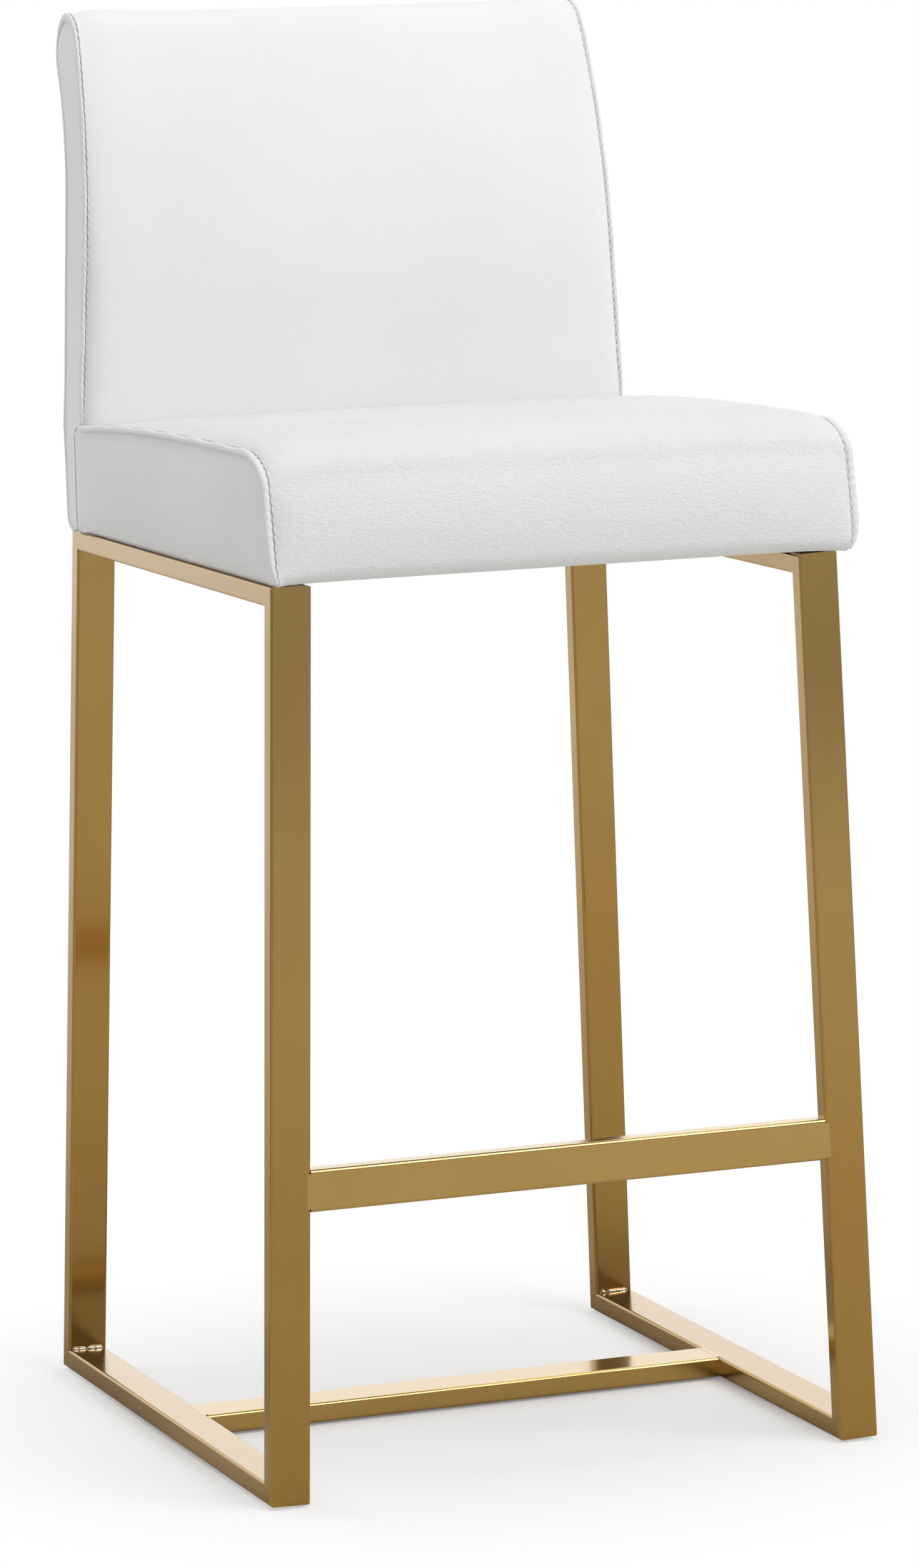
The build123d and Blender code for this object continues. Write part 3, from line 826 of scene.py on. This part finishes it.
def seam_frames(points, step):
    """Even places along an outline, each with its way along and its way out."""
    cells = max(2, round(run_length(points) / step))
    even = resampled(points, cells)
    frames = []
    for i, at in enumerate(even):
        ahead = even[min(i + 1, cells)] - even[max(i - 1, 0)]
        ahead /= abs(ahead)
        frames.append((at, ahead, 1j * ahead, i * run_length(points) / cells))
    return frames


def welt(name, side, points, half_at, size):
    """Rolled seam along an edge, thinner where it faces rearward, with a pucker at each stitch."""
    width, swell = size
    rings = []
    frames = seam_frames(points, WELT_STEP)
    for i, (at, _, out, gone) in enumerate(frames):
        close = min(i, len(frames) - 1 - i, WELT_CLOSE) / WELT_CLOSE
        rearward = min(1.0, max(0.0, out.real))
        taper = WELT_END + (1 - WELT_END) * sin(close * pi / 2)
        high = width * taper * (1 - (1 - WELT_REAR) * rearward)
        wide = swell * taper * (1 - (1 - WELT_REAR_WIDTH) * rearward)
        middle = at + out * (WELT_PROUD - high)
        ripple = PUCKER * (sin(2 * pi * gone / STITCH_PITCH + side) + sin(gone / PUCKER_DRIFT))
        ring = []
        for angle in turns(WELT_SIDES):
            p = middle + out * (high * cos(angle) + ripple * max(0.0, cos(angle)))
            x = half_at(at.imag) - COVER + wide * (1 + sin(angle))
            ring.append(Vector((side * x, p.real, p.imag)))
        rings.append(ring)
    add_piece(name, *skin(rings), side_leather)


STITCH_LENGTH = 4.1 * MM
STITCH_RADIUS = 0.46 * MM
FINE_STITCH_RADIUS = 0.22 * MM
STITCH_SIDES = 8
STITCH_SHARES = (-1.0, -0.85, -0.5, 0.0, 0.5, 0.85, 1.0)
STITCH_WAVES = (911.0, 2777.0)
STITCH_TAPER = 0.9
STITCH_SAG = 0.25 * MM
STITCH_SLANT = 0.22 * MM
STITCH_UNEVEN = 0.10


def stitches(name, side, points, half_at, inward, lift, thickness=STITCH_RADIUS):
    """A row of slightly uneven sewn stitches along a seam, joined into one piece."""
    bodies = []
    for at, ahead, out, gone in seam_frames(points, STITCH_PITCH)[1:-1]:
        rings = []
        uneven = sum(sin(gone * wave) for wave in STITCH_WAVES) / len(STITCH_WAVES)
        length = STITCH_LENGTH * (1 + STITCH_UNEVEN * uneven)
        for share in STITCH_SHARES:
            radius = thickness * (1 - STITCH_TAPER * share ** 4)
            rise = lift - STITCH_SAG * share ** 2
            middle = at + ahead * length / 2 * share + out * rise
            slant = STITCH_SLANT * share * uneven
            ring = []
            for angle in turns(STITCH_SIDES):
                p = middle + out * radius * cos(angle)
                x = half_at(at.imag) - inward + radius * sin(angle) + slant
                ring.append(Vector((side * x, p.real, p.imag)))
            rings.append(ring)
        bodies.append(rings)
    add_piece(name, *joined(bodies), sewing_thread)


def seat_seam():
    """Line of the seat's welted seam, from the front's foot over the edge to beside the back."""
    at = seat_corners(0)
    roll = quarter(at["under"], at["front_low"], ROLL_CELLS)
    return (roll[ROLL_CELLS // 2 - 1:]
            + arc(at["front_low"], at["front_high"], FRONT_ROUND, FRONT_CELLS)
            + quarter(at["front_high"], at["front_top"], 4 * EDGE_CELLS, upright=True)
            + settling(at["front_top"], shoulder_high, LENGTH_CELLS))


def back_seam():
    """Line of the back's welted seam, from the seat up the face, over the top and down the rear."""
    at = back_corners(0)
    start = complex(face, seat_top_rear + BACK_WELT[0] / 2)
    return ([start, at["bend"]] + at["lean"]
            + cap_arcs(at, 2 * CAP_CELLS, 3 * CAP_CELLS) + at["sweep"]
            + [at["rear"]] + quarter(at["rear"], at["rear_low"], 2 * ROLL_CELLS, upright=True))


def shoulder_seam():
    """Line of the plain seam between the seat's side panel and the back's band."""
    foot = complex(shoulder, seat_base + ROLL)
    turn = quarter(shoulder_low, shoulder_high, SHOULDER_CELLS, upright=True)
    return [foot, shoulder_low] + turn


# One white leather in four tones: the darker seat and the paler back and band are painted shade and
# light
seat_leather = leather("white_leather_grained", grain_depth=0.35 * MM, tones_and_painted_shade=(0.770, 0.805))
back_leather = leather("white_leather_fine", grain_depth=0.10 * MM, tones_and_painted_shade=(0.840, 0.880))
side_leather = leather("white_leather_smooth", grain_depth=0.06 * MM, tones_and_painted_shade=(0.780, 0.820))
band_leather = leather("white_leather_band", grain_depth=0.06 * MM, tones_and_painted_shade=(0.830, 0.870))
sewing_thread = thread()
SEAM_INWARD = 1.2 * MM
SEAM_LIFT = 0.3 * MM
SHOULDER_STITCH_OUT = 0.1 * MM

# Stretches that the pressure swells, and stretches that start with a sharp edge
SEAT_FREE = (2, 3, 4)
SEAT_SHARP = (5, 6)
BACK_FREE = (1, 2, 3, 4, 5)
BACK_SHARP = (1,)


def add_seat():
    """The seat's cushion with its side panels, welts and stitches."""
    seat = cushion("seat_cushion", seat_stretches, seat_half, SEAT_FREE, SEAT_SHARP,
                   SEAT_PRESSURE, seat_leather)
    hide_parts("seat_wrap_cover", "seat_foam")
    for side, name in SIDES:
        panel(f"{name}_seat_side", side, seat_panel_grid(), seat_half, f"{name}_seat_side_panel",
              SEAT_SIDE_PUFF, SIDE_PRESSURE, side_leather)
        welt(f"{name}_seat_welt", side, seat_seam(), seat_half, SEAT_WELT)
        stitches(f"{name}_seat_stitches", side, seat_seam(), seat_half, SEAM_INWARD, SEAM_LIFT)
        stitches(f"{name}_shoulder_stitches", side, shoulder_seam(), back_half,
                 -SHOULDER_STITCH_OUT, 0.0, FINE_STITCH_RADIUS)


def add_back():
    """The back's cushion with its side bands, welts and stitches."""
    back = cushion("back_cushion", back_stretches, back_half, BACK_FREE, BACK_SHARP,
                   BACK_PRESSURE, back_leather)
    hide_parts("back_wrap_cover", "back_foam")
    for side, name in SIDES:
        panel(f"{name}_back_band", side, back_band_grid(), back_half, f"{name}_back_side_band",
              BACK_BAND_PUFF, BAND_PRESSURE, band_leather)
        welt(f"{name}_back_welt", side, back_seam(), back_half, BACK_WELT)
        stitches(f"{name}_back_stitches", side, back_seam(), back_half, SEAM_INWARD, SEAM_LIFT)


WELD_RINGS = 60
WELD_SIDES = 14
WELD_SIZE = 1.7 * MM
WELD_MARGIN = 2.0 * MM
WELD_NECK = 0.35
WELD_CLOSE = 0.08
WELD_END = 0.15
WELD_WAVES = (23, 37)
WELD_SECOND_WAVE = 0.7
WELD_UNEVEN = 0.05
WELD_SWAY = 0.12
WELD_RAISE = 0.35
WELD_TALL = 1.1
WELD_LOBES = {-1: ((0.02, 0.46), (0.48, 0.98)), 1: ((0.02, 0.20), (0.22, 0.94))}


def weld_swell(share, lobes):
    """Share of the bead's full size: lobes with round ends, and a thin neck between them."""
    swells = [max(0.0, 1 - ((2 * share - start - end) / (end - start)) ** 4)
              for start, end in lobes]
    return WELD_NECK + (1 - WELD_NECK) * max(swells) ** 0.5


def add_welds():
    """Rippled weld beads along the inside corners behind the two floor rails."""
    bodies = []
    corner_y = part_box("floor_corner_welds")[1].y
    corner_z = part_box("floor_corner_welds")[0].z
    for side, name in SIDES:
        low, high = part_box(f"{name}_floor_rail")
        first, last = low.x + WELD_MARGIN, high.x - WELD_MARGIN
        rings = []
        for i in range(WELD_RINGS + 1):
            share = i / WELD_RINGS
            close = sin(pi / 2 * min(share, 1 - share, WELD_CLOSE) / WELD_CLOSE)
            wave = sin(share * WELD_WAVES[0] + side)
            ripple = wave + WELD_SECOND_WAVE * sin(share * WELD_WAVES[1] + 2 * side)
            size = WELD_SIZE * (WELD_END + (1 - WELD_END) * close)
            size *= weld_swell(share, WELD_LOBES[side]) * (1 + WELD_UNEVEN * ripple)
            x = first + (last - first) * share
            middle_y = corner_y + WELD_SWAY * size * (wave - 1)
            middle_z = corner_z + WELD_RAISE * size
            rings.append([Vector((x, middle_y + size * cos(angle),
                                  middle_z + WELD_TALL * size * sin(angle)))
                          for angle in turns(WELD_SIDES)])
        bodies.append(rings)
    beads = add_piece("weld_beads", *joined(bodies), weld_metal(), "weld_metal")
    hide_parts("floor_corner_welds")


STAPLE_PITCH = 34.0 * MM
STAPLE_INSET = 9.0 * MM
STAPLE_LENGTH = 10.0 * MM
STAPLE_LEG = 1.5 * MM
STAPLE_BEND = 0.5 * MM
STAPLE_RADIUS = 0.45 * MM
STAPLE_SIDES = 8
STAPLE_UNEVEN = 0.8 * MM
STAPLE_SKEW = 0.12
STAPLE_WAVES = (7.3, 2.1, 5.1)


def staple(middle, turn):
    """Rings of one staple: two short legs upward and a level crown between them."""
    half = STAPLE_LENGTH / 2
    corner = half - STAPLE_BEND
    path = [(-half, STAPLE_LEG), (-half, STAPLE_BEND), (-corner, 0.0),
            (corner, 0.0), (half, STAPLE_BEND), (half, STAPLE_LEG)]
    along = Vector((cos(turn), sin(turn), 0))
    sideways = Vector((-sin(turn), cos(turn), 0))
    rings = []
    for i, (far, high) in enumerate(path):
        before, after = path[max(i - 1, 0)], path[min(i + 1, len(path) - 1)]
        ahead = (along * (after[0] - before[0]) + Vector((0, 0, after[1] - before[1]))).normalized()
        upward = sideways.cross(ahead)
        at = middle + along * far + Vector((0, 0, high))
        rings.append([at + STAPLE_RADIUS * (sideways * cos(angle) + upward * sin(angle))
                      for angle in turns(STAPLE_SIDES)])
    return rings


def add_staples():
    """Staples along the edges of the cloth under the seat, not quite in line."""
    bodies = []
    low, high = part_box("seat_dust_cover")
    left, right = low.x + STAPLE_INSET, high.x - STAPLE_INSET
    front, rear = low.y + STAPLE_INSET, high.y - STAPLE_INSET
    runs = [((left, front), (right, front)), ((left, rear), (right, rear)),
            ((left, front), (left, rear)), ((right, front), (right, rear))]
    for number, (start, end) in enumerate(runs):
        start, end = Vector((*start, low.z)), Vector((*end, low.z))
        way = end - start
        count = round(way.length / STAPLE_PITCH)
        for i in range(count):
            uneven = STAPLE_UNEVEN * sin(STAPLE_WAVES[0] * i + STAPLE_WAVES[1] * number)
            middle = start + way * (i + 0.5) / count + Vector((uneven, uneven, 0))
            skew = STAPLE_SKEW * sin(STAPLE_WAVES[2] * i + number)
            turn = (pi / 2 if abs(way.y) > abs(way.x) else 0.0) + skew
            bodies.append(staple(middle, turn))
    plated = bpy.data.materials["zinc_plate"]
    add_piece("dust_cover_staples", *joined(bodies), plated, "zinc_steel")


FLUSH_REACH = 2.4 * MM
FLUSH_LAP = 0.8 * MM
FLUSH_DEPTH = 1.6 * MM
FLUSH_PROUD = 0.06 * MM
FLUSH_EDGE = 0.18 * MM
FLUSH_ROOT = 0.2
FLUSH_MARGIN = 2.2 * MM
BAR_LAP_EDGE = 0.30 * MM
REST_LAP_EDGE = 0.24 * MM


def flush_section(slope, lap_edge):
    """Section of a flush weld: way past the bar's end, and depth under the weld's face."""
    rise = slope * FLUSH_REACH
    return [(-FLUSH_LAP, 0.0), (FLUSH_REACH, -rise), (FLUSH_REACH, FLUSH_EDGE - rise),
            (FLUSH_ROOT * FLUSH_REACH, FLUSH_DEPTH + FLUSH_PROUD), (-FLUSH_LAP, lap_edge)]


def cross_bar_welds():
    """Rings of the two welds that are level with the top of the floor cross bar."""
    low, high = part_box("floor_cross_bar")
    slope = (floor_rail[1].z - high.z) / (floor_rail[1].x - floor_rail[0].x)
    section = flush_section(slope, BAR_LAP_EDGE)
    top = high.z + FLUSH_PROUD
    bodies = []
    for side, inner in ((-1, low.x), (1, high.x)):
        bodies.append([[Vector((inner + side * out, y, top - deep)) for out, deep in section]
                       for y in (low.y + FLUSH_MARGIN, high.y - FLUSH_MARGIN)])
    return bodies


def footrest_welds():
    """Rings of the two welds that are level with the front of the footrest."""
    low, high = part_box("footrest_bar")
    loop_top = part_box("left_top_rail")
    loop_rise = seat_base - floor_rail[0].z
    splay = (loop_top[0].x - floor_rail[0].x) / loop_rise
    rake = (loop_top[0].y - floor_rail[0].y) / loop_rise
    section = flush_section(0.0, REST_LAP_EDGE)
    bodies = []
    for side, inner in ((-1, low.x), (1, high.x)):
        rings = []
        for z in (low.z + FLUSH_MARGIN, high.z - FLUSH_MARGIN):
            end = inner - side * splay * (z - low.z)
            front = low.y + rake * (z - low.z) - FLUSH_PROUD
            rings.append([Vector((end + side * out, front + deep, z)) for out, deep in section])
        bodies.append(rings)
    return bodies


def add_flush_welds():
    """Welds ground level with the bars that they join to the side loops."""
    points, faces = joined(cross_bar_welds() + footrest_welds())
    # The flush welds take the crosswise bars' gold, painted light included
    gold = bpy.data.materials["brushed_gold_x"]
    piece = add_piece("flush_welds", points, faces, gold, "gold_steel")
    piece.data.shade_flat()


def dress_frame():
    """Materials of the solids that stay as they are."""
    gold = {axis: brushed_gold("brushed_gold_" + axis, axis) for axis in "yz"}
    # The crosswise bars get a brighter gold: painted light
    gold["x"] = brushed_gold("brushed_gold_x", "x", CROSSWISE_PAINTED_LIGHT)
    finish = {"floor_glides": glide_nylon(), "seat_dust_cover": dust_cloth()}
    wood = plywood()
    plated = zinc()
    padding = foam()
    for side in ("left", "right"):
        finish.update({f"{side}_front_leg": gold["z"], f"{side}_rear_leg": gold["z"],
                       f"{side}_top_rail": gold["y"], f"{side}_floor_rail": gold["y"],
                       f"{side}_back_bracket": plated})
    for name in ("footrest_bar", "floor_cross_bar", "floor_corner_welds"):
        finish[name] = gold["x"]
    for name in ("seat_bolts", "seat_washers", "seat_nuts", "bracket_screws"):
        finish[name] = plated
    for name in ("seat", "back"):
        finish.update({f"{name}_board": wood, f"{name}_foam": padding})
    for name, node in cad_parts.items():
        node.data.materials.clear()
        node.data.materials.append(finish.get(name, side_leather))


FLOOR_HALF = 5.0
FLOOR_PALE = (0.82, 0.82, 0.82, 1)
# Tint of the floor in reflections near the stool: painted warm light bounced from the gold frame
FLOOR_PAINTED_BOUNCE = (0.93, 0.82, 0.62)
FLOOR_GLOW = 0.19

# Runs of tones: two places in metres, and the tones there. In reflections the floor darkens under
# the stool, a painted shadow, and the warm tint near it is painted bounced light
FLOOR_AHEAD = (-0.05, 0.2, 0.54, 0.20)
FLOOR_CLOSE = (0.05, 0.35, 0.0, 0.32)
FLOOR_BEHIND = (0.6, 2.6, 0.0, 0.48)
PAINTED_BOUNCE_RUN = (1.0, 3.5, 0.0, 1.0)
SHADOW_RUN = (0.18, 0.42, 0.0, 1.0)


def add_floor():
    """Pale floor, white to the camera but for the stool's shadow; in reflections it shows a painted
    shadow under the stool and painted warm light near it.
    """
    mesh = bpy.data.meshes.new("studio_floor")
    corners = [(-FLOOR_HALF, -FLOOR_HALF, 0), (FLOOR_HALF, -FLOOR_HALF, 0),
               (FLOOR_HALF, FLOOR_HALF, 0), (-FLOOR_HALF, FLOOR_HALF, 0)]
    mesh.from_pydata(corners, [], [(0, 1, 2, 3)])
    floor = bpy.data.objects.new("studio_floor", mesh)
    scene.collection.objects.link(floor)
    material = bpy.data.materials.new("studio_floor")
    material.use_nodes = True
    nodes = Nodes(material.node_tree)
    material.node_tree.nodes.remove(material.node_tree.nodes["Principled BSDF"])
    rays = nodes.add("ShaderNodeLightPath")
    position = nodes.add("ShaderNodeNewGeometry").outputs["Position"]
    depth = nodes.add("ShaderNodeSeparateXYZ", Vector=position).outputs["Y"]
    # Painted shadow: the floor that reflections see darkens under the stool
    ahead = nodes.spread(depth, *FLOOR_AHEAD)
    close_by = nodes.spread(depth, *FLOOR_CLOSE)
    behind = nodes.math("ADD", close_by, nodes.spread(depth, *FLOOR_BEHIND))
    away = nodes.fed("ShaderNodeVectorMath", {"operation": "LENGTH"}, position).outputs["Value"]
    # Painted bounced light: reflections see the floor warmer near the stool
    painted_bounce = nodes.ramp(nodes.spread(away, *PAINTED_BOUNCE_RUN), (0.0, FLOOR_PAINTED_BOUNCE), (1.0, 1.0))
    mirrored = nodes.mix("RGBA", 1.0, nodes.math("ADD", ahead, behind), painted_bounce, "MULTIPLY")
    tone = nodes.mix("RGBA", rays.outputs["Is Glossy Ray"], FLOOR_PALE, mirrored)
    diffuse = nodes.add("ShaderNodeBsdfDiffuse", Color=tone).outputs[0]
    glow = nodes.add("ShaderNodeEmission", Strength=FLOOR_GLOW).outputs[0]
    near = nodes.fed("ShaderNodeAddShader", {}, diffuse, glow).outputs[0]
    white = nodes.add("ShaderNodeEmission", Strength=1.0).outputs[0]
    far = nodes.spread(away, *SHADOW_RUN)
    seen = nodes.fed("ShaderNodeMixShader", {}, far, near, white).outputs[0]
    mix = nodes.fed("ShaderNodeMixShader", {}, rays.outputs["Is Camera Ray"], diffuse, seen)
    nodes.put(material.node_tree.nodes["Material Output"], "Surface", mix.outputs[0])
    mesh.materials.append(material)


# Runs of light round about: two parts of the ray's way, and the light there
WALL_RUN = (-0.02, 0.10, 0.0, -0.32)
SKY_RUN = (0.40, 0.70, 0.0, 1.0)
AHEAD_RUN = (-0.5, -0.1, 1.0, 0.0)
ASIDE_RUN = (-0.60, -0.05, 0.6, 1.0)
BEHIND_RUN = (-0.3, 0.5, 0.44, 1.05)
SOFT_RUN = (-1.0, 1.0, 0.46, 0.78)


def add_world():
    """White surroundings; the metal sees a studio that is dimmer on the front side."""
    world = bpy.data.worlds.new("studio")
    world.use_nodes = True
    scene.world = world
    nodes = Nodes(world.node_tree)
    rays = nodes.add("ShaderNodeLightPath")
    seen_way = nodes.add("ShaderNodeTexCoord").outputs["Generated"]
    way = nodes.add("ShaderNodeSeparateXYZ", Vector=seen_way).outputs
    wall = nodes.spread(way["Z"], *WALL_RUN)
    skyward = nodes.math("ADD", wall, nodes.spread(way["Z"], *SKY_RUN))
    ahead = nodes.math("MULTIPLY", skyward, nodes.spread(way["Y"], *AHEAD_RUN))
    aside = nodes.spread(way["X"], *ASIDE_RUN)
    around = nodes.math("MULTIPLY", aside, nodes.spread(way["Y"], *BEHIND_RUN))
    mirrored = nodes.math("ADD", ahead, around)
    soft = nodes.spread(way["X"], *SOFT_RUN)
    level = nodes.mix("FLOAT", rays.outputs["Is Glossy Ray"], soft, mirrored)
    clear = nodes.math(
        "MAXIMUM", rays.outputs["Is Camera Ray"], rays.outputs["Is Transmission Ray"])
    background = world.node_tree.nodes["Background"]
    background.inputs["Color"].default_value = (1, 1, 1, 1)
    nodes.put(background, "Strength", nodes.mix("FLOAT", clear, level, 1.0))


# Name, place, target, size, power, and whether reflections show it
LAMPS = (
    ("key_softbox", (1.6, -2.4, 2.7), (0, 0, 0.5), 2.2, 47, True),
    ("top_softbox", (-0.3, 0.3, 3.2), (0, 0, 0.5), 2.4, 15, True),
    ("rear_fill", (-1.3, 1.0, 1.0), (-0.15, 0.1, 0.7), 0.9, 2.6, False),
)


def add_lamp(name, place, target, size, power, mirrored):
    """A square softbox that faces its target."""
    data = bpy.data.lights.new(name, "AREA")
    data.size = size
    data.energy = power
    lamp = bpy.data.objects.new(name, data)
    lamp.location = place
    lamp.rotation_euler = (Vector(target) - Vector(place)).to_track_quat("-Z", "Y").to_euler()
    lamp.visible_glossy = mirrored
    scene.collection.objects.link(lamp)


add_camera()
add_world()
for lamp_row in LAMPS:
    add_lamp(*lamp_row)
add_floor()
dress_frame()
add_welds()
add_flush_welds()
add_staples()
add_seat()
add_back()

scene.view_settings.view_transform = "Standard"
